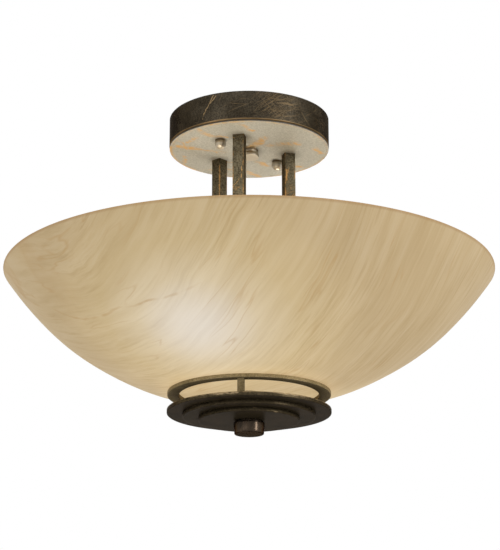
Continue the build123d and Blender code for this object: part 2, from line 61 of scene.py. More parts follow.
def put(tree, kind, inputs=None, **settings):
    """Adds a shader node. An input is a value, or the output of another node."""
    made = tree.nodes.new("ShaderNode" + kind)
    for name, value in settings.items():
        setattr(made, name, value)
    for name, value in (inputs or {}).items():
        if isinstance(value, bpy.types.NodeSocket):
            tree.links.new(value, made.inputs[name])
        elif made.inputs[name].type == "RGBA":
            made.inputs[name].default_value = (*value, 1)
        else:
            made.inputs[name].default_value = value
    return made


def finish(name, **sockets):
    """A new material and its shader; the values given are the same all over the surface."""
    made = bpy.data.materials.new(name)
    made.use_nodes = True
    shader = made.node_tree.nodes["Principled BSDF"]
    for socket, value in sockets.items():
        shader.inputs[socket.replace("_", " ")].default_value = value
    return made, made.node_tree, shader


def place(tree, stretch=(1, 1, 1), turn=0.0, centre=(0, 0, 0)):
    """Object coordinates, moved to a centre, turned about Z in degrees, then stretched."""
    spot = put(tree, "TexCoord").outputs["Object"]
    moved = put(tree, "VectorMath", {0: spot, 1: centre}, operation="SUBTRACT").outputs[0]
    turned_round = put(tree, "Mapping", {"Vector": moved, "Rotation": (0, 0, math.radians(turn))})
    return put(tree, "Mapping", {"Vector": turned_round.outputs[0], "Scale": stretch}).outputs[0]


def cloud(tree, where, scale=1.0, detail=3.0, roughness=0.5, distortion=0.0):
    """Noise between 0 and 1."""
    inputs = {"Vector": where, "Scale": scale, "Detail": detail, "Roughness": roughness,
              "Distortion": distortion}
    return put(tree, "TexNoise", inputs).outputs["Fac"]


def ramp(tree, value, *stops):
    """Turns a value into a colour; each stop is a position and a colour or a grey."""
    made = put(tree, "ValToRGB", {"Fac": value})
    band = made.color_ramp
    while len(band.elements) < len(stops):
        band.elements.new(0.5)
    for element, (position, colour) in zip(band.elements, stops):
        element.position = position
        shade = colour if isinstance(colour, tuple) else (colour, colour, colour)
        element.color = (*shade, 1)
    return made.outputs["Color"]


def surfaced(tree, shader, colour, roughness):
    """Gives a shader the colour and the roughness of its surface."""
    tree.links.new(colour, shader.inputs["Base Color"])
    tree.links.new(roughness, shader.inputs["Roughness"])


def dented(tree, shader, height, strength, depth):
    """Raises the surface by a height between 0 and 1; the depth is in millimetres."""
    bump = put(tree, "Bump", {"Height": height, "Strength": strength, "Distance": depth * mm})
    tree.links.new(bump.outputs["Normal"], shader.inputs["Normal"])


def coated(coat, *names):
    """Gives CAD nodes a finish."""
    for name in names:
        nodes[name].data.materials.clear()
        nodes[name].data.materials.append(coat)


plated_steel, tree, shader = finish("plated_steel", Metallic=1.0)
spangle = cloud(tree, place(tree), scale=140, detail=4)
rolling = cloud(tree, place(tree, stretch=(60, 2500, 800)), detail=2)
zinc = ramp(tree, spangle, (0.35, (0.47, 0.46, 0.43)), (0.65, (0.66, 0.65, 0.62)))
surfaced(tree, shader, zinc, ramp(tree, rolling, (0.3, 0.26), (0.7, 0.44)))
dented(tree, shader, rolling, 0.15, 0.05)
coated(plated_steel, "crossbar")

# Ground screw. A green painted machine screw in the crossbar, where the ground wires would be tied.
# The paint is thin and a little chipped in the slot and round the head.
green_paint, tree, shader = finish("green_paint", Specular_IOR_Level=0.4)
chips = cloud(tree, place(tree), scale=900, detail=4)
green = ramp(tree, chips, (0.3, (0.015, 0.13, 0.045)), (0.62, (0.03, 0.24, 0.085)), (0.72, (0.3, 0.32, 0.28)))
surfaced(tree, shader, green, ramp(tree, chips, (0.3, 0.35), (0.7, 0.6)))
coated(green_paint, "ground_screw")

# Mounting studs. Two long 4 mm machine screws that come down through the canopy plate to the ball
# nuts. They are cut with a fine thread over their whole length and plated like the crossbar.


def thread_outline(radius, top, bottom, pitch, depth):
    """Down the flanks of a thread, in millimetres."""
    turns = round((top - bottom) / pitch)
    step = (top - bottom) / turns
    return [(radius - depth * (i % 2), top - step * i / 2) for i in range(2 * turns + 1)]


def lathe(corners, steps=192, reach=0.0, ease=0.0, closed=False, places=((0, 0),), worn=None):
    """Turns an outline of (radius, height) corners, in millimetres, about Z. Each corner off the axis
    is rounded by ease, with a loop of the flat held at reach. The rounding is marked as worn, or
    worn gives the wear at a radius and height."""
    mesh = bmesh.new()
    wear = mesh.verts.layers.float.new("wear")
    outline = [mesh.verts.new((radius * mm, 0, height * mm)) for radius, height in corners]
    ends = outline[1:] + outline[:1] if closed else outline[1:]
    for one, other in zip(outline, ends):
        mesh.edges.new((one, other))
    if ease:
        square = [vert for vert in outline if len(vert.link_edges) == 2 and vert.co.x > 1e-6]
        marks = [vert.co.copy() for vert in square]
        if reach:
            bmesh.ops.bevel(mesh, geom=square, offset=reach * mm, offset_type="OFFSET", segments=2,
                            profile=1.0, affect="VERTICES", material=-1)
            square = [vert for vert in mesh.verts if any((vert.co - mark).length < 1e-7 for mark in marks)]
        rounded = bmesh.ops.bevel(mesh, geom=square, offset=ease * mm, offset_type="OFFSET", segments=3,
                                  profile=0.5, affect="VERTICES", material=-1)
        for vert in rounded["verts"]:
            vert[wear] = 1.0
    bmesh.ops.spin(mesh, geom=mesh.verts[:] + mesh.edges[:], cent=(0, 0, 0), axis=(0, 0, 1),
                   angle=math.tau, steps=steps, use_merge=True)
    bmesh.ops.remove_doubles(mesh, verts=mesh.verts, dist=1e-6)
    bmesh.ops.recalc_face_normals(mesh, faces=mesh.faces)
    if worn:
        for vert in mesh.verts:
            vert[wear] = worn(math.hypot(vert.co.x, vert.co.y) / mm, vert.co.z / mm)
    return repeated(mesh, places)


def repeated(mesh, places):
    """Copies a mesh to each place in the ceiling plane, in millimetres."""
    first = mesh.verts[:] + mesh.edges[:] + mesh.faces[:]
    for across, along in places[1:]:
        copy = bmesh.ops.duplicate(mesh, geom=first)["geom"]
        points = [item for item in copy if isinstance(item, bmesh.types.BMVert)]
        bmesh.ops.translate(mesh, verts=points, vec=(across * mm, along * mm, 0))
    points = [item for item in first if isinstance(item, bmesh.types.BMVert)]
    bmesh.ops.translate(mesh, verts=points, vec=(places[0][0] * mm, places[0][1] * mm, 0))
    return mesh


def piece(name, mesh, coat, body, slot, *stands_for):
    """Makes a mesh a piece of the light that stands for its CAD nodes."""
    for face in mesh.faces:
        face.smooth = True
    data = bpy.data.meshes.new(name)
    mesh.to_mesh(data)
    mesh.free()
    data.materials.append(coat)
    made = bpy.data.objects.new(name, data)
    bpy.context.scene.collection.objects.link(made)
    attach(made, body)
    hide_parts(*stands_for)
    return made


stud_places = ((35, 0), (-35, 0))
stud_thread = thread_outline(radius=2.0, top=-0.5, bottom=-31.5, pitch=0.7, depth=0.35)
stud = lathe([(0, -0.05), (1.6, -0.05)] + stud_thread + [(0, -31.6)], steps=24, places=stud_places)
piece("threaded_studs", stud, plated_steel, "root", "plated_steel", "mounting_studs")

# Stud nuts. Small hexagon nuts that lock the studs under the crossbar. Each is turned with a chamfer
# at both ends and then gets its six flats, as a real nut does.


def hexagon_nut(flats, bore, top, height, places=((0, 0),)):
    """A chamfered nut, in millimetres, under the height called top."""
    corner = flats / 2 / math.cos(math.pi / 6)
    face = flats / 2 * 0.96
    fall = (corner - face) * 0.6
    blank = [(bore / 2, top), (face, top), (corner, top - fall), (corner, top - height + fall),
             (face, top - height), (bore / 2, top - height)]
    mesh = lathe(blank, steps=72, closed=True)
    for number in range(6):
        side = Vector((math.cos(math.radians(60 * number)), math.sin(math.radians(60 * number)), 0))
        cut = bmesh.ops.bisect_plane(mesh, geom=mesh.verts[:] + mesh.edges[:] + mesh.faces[:], dist=1e-7,
                                     plane_co=side * flats / 2 * mm, plane_no=side, clear_outer=True)
        open_edges = [item for item in cut["geom_cut"] if isinstance(item, bmesh.types.BMEdge)]
        bmesh.ops.holes_fill(mesh, edges=open_edges, sides=0)
    bmesh.ops.recalc_face_normals(mesh, faces=mesh.faces)
    return repeated(mesh, places)


def flat_sided(made, angle=30):
    """Keeps the edges between flats sharp."""
    made.data.set_sharp_from_angle(angle=math.radians(angle))


nuts = hexagon_nut(flats=7.0, bore=4.1, top=-2.5, height=3.2, places=stud_places)
flat_sided(piece("hexagon_stud_nuts", nuts, plated_steel, "root", "plated_steel", "stud_nuts"))

# Canopy band. A strip of sheet steel rolled round and welded, 135 mm across, painted in a dark aged
# bronze. The paint is rubbed through in fine crossed scratches on the right of the front and in long
# orange ones on its left, and in places along the edges. The lower lip is partly bare and is painted
# lighter all round in the bare colour, as a painted highlight.


def calc(tree, operation, *values):
    """One step of arithmetic, kept between 0 and 1."""
    made = put(tree, "Math", dict(enumerate(values)), operation=operation, use_clamp=True)
    return made.outputs[0]


def times(tree, first, *others):
    """Amounts multiplied by each other."""
    for other in others:
        first = calc(tree, "MULTIPLY", first, other)
    return first


def most(tree, first, *others):
    """The largest of several amounts."""
    for other in others:
        first = calc(tree, "MAXIMUM", first, other)
    return first


def fade(tree, value, nothing, full, strength=1.0):
    """Rises evenly from 0, where the value is nothing, to strength, where it is full."""
    inputs = {"Value": value, "From Min": nothing, "From Max": full, "To Max": strength}
    return put(tree, "MapRange", inputs).outputs[0]


def height_of(tree, spot):
    """How high a place is."""
    return put(tree, "SeparateXYZ", {0: spot}).outputs["Z"]


def layer(tree, amount, under, over, kind="MIX"):
    """Lays one colour over another by an amount from 0 to 1."""
    made = put(tree, "Mix", {0: amount, 6: under, 7: over}, data_type="RGBA", blend_type=kind)
    return made.outputs[2]


def stretched(tree, where, scale):
    """A place stretched along each of its axes."""
    return put(tree, "Mapping", {"Vector": where, "Scale": scale}).outputs[0]


def moved_about(tree, where, scale, distance):
    """Shifts a place by soft noise, so that a pattern there bends and curls."""
    drift = put(tree, "TexNoise", {"Vector": where, "Scale": scale, "Detail": 2.0, "Roughness": 0.5})
    centred = put(tree, "VectorMath", {0: drift.outputs["Color"], 1: (0.5, 0.5, 0.5)}, operation="SUBTRACT")
    scaled = put(tree, "VectorMath", {0: centred.outputs[0], "Scale": distance}, operation="SCALE")
    return put(tree, "VectorMath", {0: where, 1: scaled.outputs[0]}, operation="ADD").outputs[0]


def stroke(tree, where, start, end, width):
    """A soft mark along the line between two points, in millimetres."""
    start, end = Vector(start) * mm, Vector(end) * mm
    line = end - start
    offset = put(tree, "VectorMath", {0: where, 1: start}, operation="SUBTRACT").outputs[0]
    share = put(tree, "VectorMath", {0: offset, 1: line / line.length_squared}, operation="DOT_PRODUCT")
    share = calc(tree, "ADD", share.outputs["Value"], 0.0)
    along = put(tree, "VectorMath", {0: line, "Scale": share}, operation="SCALE").outputs[0]
    across = put(tree, "VectorMath", {0: offset, 1: along}, operation="DISTANCE").outputs["Value"]
    return fade(tree, across, width * mm, 0.3 * width * mm)


def strokes(tree, where, lines):
    """Several marks; each line is its start, its end and its width, in millimetres."""
    return most(tree, 0.0, *[stroke(tree, where, start, end, width) for start, end, width in lines])


def hairlines(tree, where, *turns, spread=30, close=1400, thin=0.66):
    """Fine scratches: thin sheets of noise at several tilts, which cut any surface in short lines."""
    lines = 0.0
    for number, (about_x, about_y) in enumerate(turns):
        tilt = (math.radians(about_x), math.radians(about_y), 0.4 * number)
        inputs = {"Vector": where, "Location": (number, number, number), "Rotation": tilt}
        sheets = stretched(tree, put(tree, "Mapping", inputs).outputs[0], (spread, spread, close))
        hair = ramp(tree, cloud(tree, sheets, detail=1.0), (thin, 0), (thin + 0.05, 1))
        lines = calc(tree, "ADD", lines, hair)
    return lines


def aged_bronze(name, dark, light, worn, bareness, scratched, metal, grain=0.4, rough=0.5, marks=None):
    """Aged bronze: mottled and grained, scratched through here and there, and bare in patches where
    it is marked as worn. It is a dull metal whose edge-on shine is dark too."""
    dark_shine = (0.28, 0.23, 0.15, 1)
    made, tree, shader = finish(name, Metallic=metal, Specular_IOR_Level=0.02, Specular_Tint=dark_shine)
    spot = place(tree)
    mottle = cloud(tree, spot, scale=60, detail=5, roughness=0.6)
    speck = cloud(tree, spot, scale=800, detail=3, roughness=0.7)
    patches = cloud(tree, spot, scale=85, detail=6, roughness=0.7)
    paint = ramp(tree, mottle, (0.34, dark), (0.66, light))
    paint = layer(tree, grain, paint, ramp(tree, speck, (0.34, 0.05), (0.66, 0.95)), "OVERLAY")
    hairs = hairlines(tree, moved_about(tree, spot, 40, 0.002), (25, 0), (-35, 30), (70, -20))
    hairs = times(tree, hairs, ramp(tree, patches, (0.42, 0.05 * scratched), (0.62, scratched)))
    paint = layer(tree, hairs, paint, worn)
    edge = put(tree, "Attribute", attribute_name="wear").outputs["Fac"]
    chance = calc(tree, "ADD", times(tree, edge, 0.42), times(tree, patches, 0.58))
    bare_from = 0.80 - 0.2 * bareness
    bare = ramp(tree, chance, (bare_from, 0), (bare_from + 0.08, 1))
    bare = times(tree, bare, ramp(tree, speck, (0.3, 0.3), (0.5, 0.9)))
    if marks:
        bare = most(tree, bare, marks(tree, spot, speck))
    paint = layer(tree, bare, paint, worn)
    surfaced(tree, shader, paint, ramp(tree, speck, (0.3, rough - 0.08), (0.7, rough + 0.1)))
    dented(tree, shader, calc(tree, "SUBTRACT", speck, times(tree, bare, 0.3)), 0.3, 0.08)
    return made


def broken(tree, speck, amount):
    """A mark that the grain of the paint breaks up."""
    return times(tree, amount, ramp(tree, speck, (0.34, 0.3), (0.52, 1.0)))


def band_marks(tree, spot, speck):
    """Long scratches on the left of the front, crossed ones on its right, and a painted highlight along the
    lip, in the bare colour.
    """
    long_ones = strokes(tree, moved_about(tree, spot, 300, 0.0016), (
        ((-66.7, -11.6, -16.8), (-65.6, -16.6, -8.4), 0.65),
        ((-65.6, -16.6, -8.4), (-64.4, -20.7, -1.5), 0.5),
        ((-65.5, -17.4, -8.0), (-63.7, -22.8, -2.3), 0.45),
        ((-66.9, -10.6, -20.5), (-66.7, -11.6, -16.8), 0.4),
    ))
    patch = stroke(tree, moved_about(tree, spot, 40, 0.02), (-33, -59, -8), (-26, -62.5, -13), 20)
    tilts = (12, 32), (-28, -38), (52, 8), (-58, 22)
    crossed = hairlines(tree, moved_about(tree, spot, 40, 0.002), *tilts, close=2300, thin=0.61)
    crossed = times(tree, patch, 0.3, crossed)
    # Painted highlight: the lower lip is lit up in the worn colour all round, broken by soft noise.
    lip_highlight = fade(tree, height_of(tree, spot), -23.5 * mm, -23.8 * mm, strength=0.85)
    lip_highlight = times(tree, lip_highlight, ramp(tree, cloud(tree, spot, scale=30, detail=3), (0.38, 0.5), (0.6, 1.0)))
    marks = most(tree, times(tree, long_ones, 0.8), crossed)
    return most(tree, broken(tree, speck, marks), lip_highlight)


def band_wear(radius, height):
    """Wear along the outer edges, at the top and at the bottom."""
    return 0.8 * (radius > 66.6) * (height < -23.6 or height > -0.4)


canopy_bronze = aged_bronze(
    "canopy_bronze", dark=(0.030, 0.024, 0.016), light=(0.052, 0.043, 0.030), worn=(0.31, 0.21, 0.105),
    bareness=0.3, scratched=0.22, grain=0.6, metal=0.8, marks=band_marks,
)
band_inside, band_outside, band_bottom = 66.15, 67.65, -24.6
band = [(band_inside, 0), (band_outside, 0), (band_outside, band_bottom + 0.6),
        (band_outside - 0.6, band_bottom), (band_inside, band_bottom)]
band = lathe(band, reach=0.29, ease=0.15, closed=True, worn=band_wear)
piece("rolled_band", band, canopy_bronze, "root", "canopy_bronze", "canopy_band")

# Canopy plate. A flat steel disc that closes the band from below, with a fine shadow groove between
# the two. Its face is painted a light pewter grey, lighter than the band's bronze, as painted light from
# the lamps below. It is finely grained, has soft orange streaks where it was handled and along its edge,
# has painted shadows round the pieces that go through it, and its thin side is painted dark as painted shade.
plate_face = -26.6


def on_plate(marks):
    """Marks whose ends are given across the plate's face."""
    return [((*start, plate_face), (*end, plate_face), width) for start, end, width in marks]


def nearness(tree, stretch, centre=(0, 0, 0)):
    """1 at a centre, and falling evenly to 0 at a metre over the stretch."""
    where = place(tree, stretch=stretch, centre=centre)
    return put(tree, "TexGradient", {"Vector": where}, gradient_type="SPHERICAL").outputs["Fac"]


lamplit_plate_pewter, tree, shader = finish("lamplit_plate_pewter", Specular_IOR_Level=0.3)
spot = place(tree)
soft = cloud(tree, spot, scale=26, detail=3, roughness=0.55)
speck = cloud(tree, spot, scale=800, detail=3, roughness=0.7)
# Painted light: the face's pale pewter grey, lighter than the band's bronze, stands in for the lamps' light
# on it.
lamplit_pewter = ramp(tree, soft, (0.3, (0.39, 0.395, 0.36)), (0.7, (0.45, 0.455, 0.42)))
lamplit_pewter = layer(tree, 0.4, lamplit_pewter, ramp(tree, speck, (0.34, 0.2), (0.66, 0.8)), "OVERLAY")
smeared = moved_about(tree, moved_about(tree, spot, 35, 0.02), 170, 0.006)
streaky = cloud(tree, stretched(tree, smeared, (40, 330, 40)), detail=5, roughness=0.68)
rubbed = strokes(tree, smeared, on_plate((
    ((-65, -6), (-46, -4), 4.5), ((-54, 41), (-11, 16), 3.6), ((-49, 26), (-53, 9), 3.15),
    ((-17, 63), (-28, 49), 2.7), ((34, 36), (52, 41), 3.6), ((21, 13), (38, 14), 4.05),
    ((-4, -2), (-14, -30), 4.05), ((0, -20), (15, -39), 4.5), ((34, -47), (52, -41), 3.6),
    ((-49, -37), (-33, -32), 3.15), ((20, 46), (6, 58), 3.15), ((50, 12), (58, -6), 3.6),
    ((-22, -8), (-36, -20), 2.7), ((2, 30), (20, 22), 3.15), ((-46, -4), (-38, -10), 3.6),
    ((-58, 30), (-38, 34), 2.7),
)))
rubbed = times(tree, rubbed, ramp(tree, streaky, (0.4, 0.08), (0.56, 1.0)))
from_edge = nearness(tree, (15.02, 15.02, 0))
by_edge = ramp(tree, from_edge, (0.0, 1.0), (0.012, 0.8), (0.035, 0))
by_edge = times(tree, by_edge, ramp(tree, soft, (0.4, 0.25), (0.53, 1.0)))
by_edge = times(tree, by_edge, ramp(tree, streaky, (0.4, 0.3), (0.55, 0.95)))
bare_copper = (0.60, 0.375, 0.135)
lamplit_pewter = layer(tree, most(tree, rubbed, by_edge), lamplit_pewter, bare_copper)
# Painted shadows: soft dark rings on the plate round the rods, the cap and the ball nuts, where they shade it
# from the lamps.
rod_shadows = [((x, y), (x, y + 0.1), 13) for x, y in ((0, 35), (-30.3, -17.5), (30.3, -17.5))]
cap_shadow = [((0, 0), (0, 0.1), 14)]
ball_shadows = [((x, y), (x, y + 0.1), 8.5) for x, y in ((-35, 0), (35, 0))]
shadowed = strokes(tree, moved_about(tree, spot, 60, 0.006), on_plate(rod_shadows + cap_shadow + ball_shadows))
shadow_colour = (0.16, 0.145, 0.11)
lamplit_pewter = layer(tree, times(tree, shadowed, 0.62), lamplit_pewter, shadow_colour)
# Painted shade: the plate's thin side, in the groove under the band, is painted dark.
side = fade(tree, height_of(tree, spot), (plate_face + 0.1) * mm, (plate_face + 0.6) * mm)
shaded_side = (0.06, 0.048, 0.03)
lamplit_pewter = layer(tree, side, lamplit_pewter, shaded_side)
surfaced(tree, shader, lamplit_pewter, ramp(tree, speck, (0.3, 0.42), (0.7, 0.6)))
dented(tree, shader, speck, 0.25, 0.06)
coated(lamplit_plate_pewter, "canopy_plate")

# Ball nuts. Two turned brass balls on short collars, satin bronze plated, that screw up on the studs
# and draw the canopy plate to the ceiling. They are painted darker near the plate, as painted shade,
# and lighter underneath, as a painted highlight.
pale_bronze, tree, shader = finish("pale_bronze", Metallic=1.0, Specular_Tint=(0.5, 0.5, 0.5, 1))
satin = cloud(tree, place(tree, stretch=(250, 250, 900)), detail=3)
plating = ramp(tree, satin, (0.3, (0.43, 0.38, 0.29)), (0.7, (0.49, 0.44, 0.35)))
height = height_of(tree, put(tree, "TexCoord").outputs["Object"])
# Painted shade near the plate and a painted highlight underneath, on the balls and the cap alike.
shade_near_plate = fade(tree, height, -29.0 * mm, -27.7 * mm)
plating = layer(tree, times(tree, shade_near_plate, 0.85), plating, (0.13, 0.09, 0.045))
light_underneath = fade(tree, height, -32.0 * mm, -33.0 * mm)
plating = layer(tree, times(tree, light_underneath, 0.6), plating, (0.66, 0.62, 0.54))
surfaced(tree, shader, plating, ramp(tree, satin, (0.3, 0.42), (0.7, 0.5)))
dented(tree, shader, satin, 0.04, 0.03)
ball_middle, ball_radius = -30.2, 4.75
ball = [(0, -31.65), (2.05, -31.65), (2.05, plate_face), (4.2, plate_face), (4.2, -27.4), (4.05, -27.6)]
for number in range(20):
    angle = math.radians(32 - number * 122 / 19)
    ball.append((ball_radius * math.cos(angle), ball_middle + ball_radius * math.sin(angle)))
ball[-1] = (0, ball_middle - ball_radius)
balls = lathe(ball, steps=96, places=stud_places)
piece("turned_ball_nuts", balls, pale_bronze, "root", "pale_bronze", "ball_nuts")

# Centre cap. A turned button with a slight waist, plated like the ball nuts. It screws on the nipple
# and closes the hole in the middle of the canopy plate.
cap = [(0, -31.05), (4.95, -31.05), (4.95, plate_face), (7.8, plate_face), (7.3, -29.0), (8.3, -31.2),
       (8.3, -33.0), (0, -33.0)]
cap = lathe(cap, steps=96, reach=0.45, ease=0.3)
piece("turned_center_cap", cap, pale_bronze, "root", "pale_bronze", "center_cap")

# Nipple and its nut. A short length of threaded lamp pipe through the canopy plate, with a hexagon
# nut on top, which holds the cap. Only someone who looks into the canopy sees them.


def lamp_pipe(top, bottom, bore=3.0):
    """Lamp pipe, threaded from end to end, in millimetres."""
    thread = thread_outline(4.9, top, bottom, pitch=0.94, depth=0.5)
    return lathe([(bore, top)] + thread + [(bore, bottom)], steps=48, closed=True)


def pipe_nut(top):
    """A hexagon nut for lamp pipe."""
    return hexagon_nut(flats=14.0, bore=9.9, top=top, height=4.0)


nipple = lamp_pipe(top=-17.6, bottom=-31.0)
piece("threaded_nipple", nipple, plated_steel, "root", "plated_steel", "center_nipple")
flat_sided(piece("hexagon_nipple_nut", pipe_nut(-20.6), plated_steel, "root", "plated_steel", "nipple_nut"))

# Support rods. Three square steel tubes, 9.5 mm wide, welded through the canopy plate and the hub
# plate. They have the same aged paint, a little more olive, and their arrises are rubbed to copper.


def rod_marks(tree, spot, speck):
    """Rubbed places and short scratches, each on its rod: out from the middle, sideways and down."""
    side = 4.75
    inner, outer = 35 - side, 35 + side
    rubs = []
    for azimuth, start, end, width in (
        (90, (inner, side, -33), (inner, side, -47), 0.8),
        (90, (inner, side, -51), (inner, side, -63), 1.0),
        (90, (33.5, side, -60), (30.8, side, -69), 0.4),
        (90, (36.5, side, -66), (32.0, side, -76), 0.4),
        (210, (outer, 3.3, -58), (outer, 3.1, -65), 0.45),
        (210, (outer, 4.1, -50), (outer, 2.6, -60), 0.25),
        (210, (outer, -3.4, -72), (outer, 1.5, -66), 0.28),
        (210, (outer, -3.9, -78), (outer, 3.2, -71), 0.28),
        (210, (outer, -4.2, -29), (outer, -2.4, -30.5), 0.5),
        (330, (31.6, -side, -42), (31.8, -side, -52), 0.8),
        (330, (33.8, -side, -40), (31.8, -side, -46), 0.5),
        (330, (inner, -side, -56), (inner, -side, -70), 0.8),
        (330, (31.0, -side, -66), (36.5, -side, -56), 0.3),
        (330, (31.5, -side, -74), (38.5, -side, -62), 0.28),
    ):
        turn = Matrix.Rotation(math.radians(azimuth), 3, "Z")
        rubs.append((turn @ Vector(start), turn @ Vector(end), width))
    made = strokes(tree, moved_about(tree, spot, 200, 0.0026), rubs)
    return times(tree, broken(tree, speck, made), 0.8)


def square_tube(width, wall, top, bottom, azimuth, distance, reach, ease):
    """A square tube that stands at an azimuth, in millimetres; its arrises are marked as worn. With
    no wall it is a solid bar."""
    mesh = bmesh.new()
    wear = mesh.verts.layers.float.new("wear")
    bmesh.ops.create_cube(mesh, size=1)
    bmesh.ops.scale(mesh, verts=mesh.verts, vec=(width * mm, width * mm, (top - bottom) * mm))
    if wall:
        ends = [face for face in mesh.faces if abs(face.normal.z) > 0.5]
        bmesh.ops.delete(mesh, geom=ends, context="FACES_ONLY")
    arris = [edge for edge in mesh.edges if abs(edge.verts[0].co.z - edge.verts[1].co.z) > 1e-6]
    corner = width / 2 * mm
    bmesh.ops.bevel(mesh, geom=arris, offset=reach * mm, offset_type="OFFSET", segments=2, profile=1.0,
                    affect="EDGES", material=-1)
    arris = [edge for edge in mesh.edges
             if all(abs(abs(side) - corner) < 1e-7 for vert in edge.verts for side in vert.co.xy)]
    rounded = bmesh.ops.bevel(mesh, geom=arris, offset=ease * mm, offset_type="OFFSET", segments=4,
                              profile=0.5, affect="EDGES", material=-1)
    for vert in rounded["verts"]:
        vert[wear] = 1.0
    if wall:
        bmesh.ops.recalc_face_normals(mesh, faces=mesh.faces)
        bmesh.ops.solidify(mesh, geom=mesh.faces[:], thickness=wall * mm)
    bmesh.ops.translate(mesh, verts=mesh.verts, vec=(distance * mm, 0, (top + bottom) / 2 * mm))
    turn = Matrix.Rotation(math.radians(azimuth), 3, "Z")
    bmesh.ops.rotate(mesh, verts=mesh.verts, cent=(0, 0, 0), matrix=turn)
    return mesh


rod_bronze = aged_bronze(
    "rod_bronze", dark=(0.065, 0.053, 0.031), light=(0.127, 0.107, 0.067), worn=(0.50, 0.27, 0.09),
    bareness=0.5, scratched=0.3, grain=0.75, metal=0.8, marks=rod_marks,
)
for number, azimuth in enumerate((90, 210, 330), start=1):
    rod = square_tube(width=9.5, wall=1.5, top=-22.6, bottom=-144.5, azimuth=azimuth, distance=35,
                      reach=1.7, ease=0.7)
    rod = piece(f"square_rod_{number}", rod, rod_bronze, "root", "rod_bronze", f"support_rod_{number}")
    flat_sided(rod, 50)

# Hub plate. A steel disc welded on the rods' lower ends, just under the level of the glass rim, in
# the rods' paint. It carries the centre tube and the two lampholders.
coated(rod_bronze, "hub_plate")

# Centre tube and its nuts. Threaded lamp pipe from the hub plate through the bowl and the discs to
# the finial. Two nuts lock it in the hub plate; a third, with a washer and a rubber gasket, seats
# the glass.
centre_pipe = lamp_pipe(top=-132.5, bottom=-268.9)
piece("threaded_tube", centre_pipe, plated_steel, "root", "plated_steel", "center_tube")


def gathered(first, *others):
    """Joins meshes into the first."""
    for other in others:
        spare = bpy.data.meshes.new("spare")
        other.to_mesh(spare)
        other.free()
        first.from_mesh(spare)
        bpy.data.meshes.remove(spare)
    return first


nuts = gathered(pipe_nut(-135.5), pipe_nut(-142.5))
flat_sided(piece("hexagon_tube_nuts", nuts, plated_steel, "root", "plated_steel", "tube_nuts"))
flat_sided(piece("hexagon_seat_nut", pipe_nut(-224.5), plated_steel, "root", "plated_steel", "seat_nut"))
coated(plated_steel, "seat_washer")
gasket_rubber, tree, shader = finish("gasket_rubber", Specular_IOR_Level=0.3)
bloom = cloud(tree, place(tree), scale=320, detail=4)
black = ramp(tree, bloom, (0.35, 0.018), (0.7, 0.045))
surfaced(tree, shader, black, ramp(tree, bloom, (0.35, 0.6), (0.7, 0.8)))
coated(gasket_rubber, "seat_gasket")

# Lamp brackets and their screws. Bent steel angles, screwed up under the hub plate, that hold the
# lampholders by their backs. They are plated like the crossbar.
coated(plated_steel, "lamp_bracket_1", "lamp_bracket_2", "bracket_screws")

# Lampholders. Two glazed porcelain bodies, pressed and fired, with a deep round socket. They point
# outwards from the middle, opposite each other.
lamp_level = -163.5
lamps = ((1, 15.0), (2, 195.0))


def laid_out(mesh, azimuth):
    """Lays a mesh that was turned about Z along a lamp's axis, with its heights going outwards."""
    turn = Matrix.Rotation(math.radians(azimuth), 4, "Z") @ Matrix.Rotation(math.radians(90), 4, "Y")
    bmesh.ops.transform(mesh, matrix=Matrix.Translation((0, 0, lamp_level * mm)) @ turn, verts=mesh.verts)
    return mesh


porcelain, tree, shader = finish("porcelain", Coat_Weight=0.6, Coat_Roughness=0.08)
glaze = cloud(tree, place(tree), scale=120, detail=3)
off_white = ramp(tree, glaze, (0.3, (0.74, 0.73, 0.69)), (0.7, (0.82, 0.81, 0.78)))
surfaced(tree, shader, off_white, ramp(tree, glaze, (0.3, 0.22), (0.7, 0.34)))
dented(tree, shader, glaze, 0.2, 0.15)
for number, azimuth in lamps:
    body = [(0, 13.0), (18.5, 13.0), (18.5, 51.0), (13.76, 51.0), (13.76, 23.0), (0, 23.0)]
    holder = laid_out(lathe(body, steps=96, reach=2.0, ease=1.0), azimuth)
    piece(f"porcelain_holder_{number}", holder, porcelain, "root", "porcelain", f"lampholder_{number}")

# Screw shells and centre contacts. The shells are thin brass, rolled with the lamp's round thread;
# the contacts are flat brass strips at the bottom of the sockets.
shell_brass, tree, shader = finish("shell_brass", Metallic=1.0)
tarnish = cloud(tree, place(tree), scale=200, detail=4)
brass = ramp(tree, tarnish, (0.3, (0.48, 0.33, 0.12)), (0.7, (0.66, 0.49, 0.21)))
surfaced(tree, shader, brass, ramp(tree, tarnish, (0.3, 0.22), (0.7, 0.4)))
lamp_pitch = -3.63
for number, azimuth in lamps:
    outer = thread_outline(radius=13.65, top=24.0, bottom=46.0, pitch=lamp_pitch, depth=0.3)
    inner = [(radius - 0.25, height) for radius, height in reversed(outer)]
    shell = laid_out(lathe(outer + inner, steps=64, closed=True), azimuth)
    piece(f"rolled_screw_shell_{number}", shell, shell_brass, "root", "shell_brass", f"screw_shell_{number}")
    coated(shell_brass, f"center_contact_{number}")

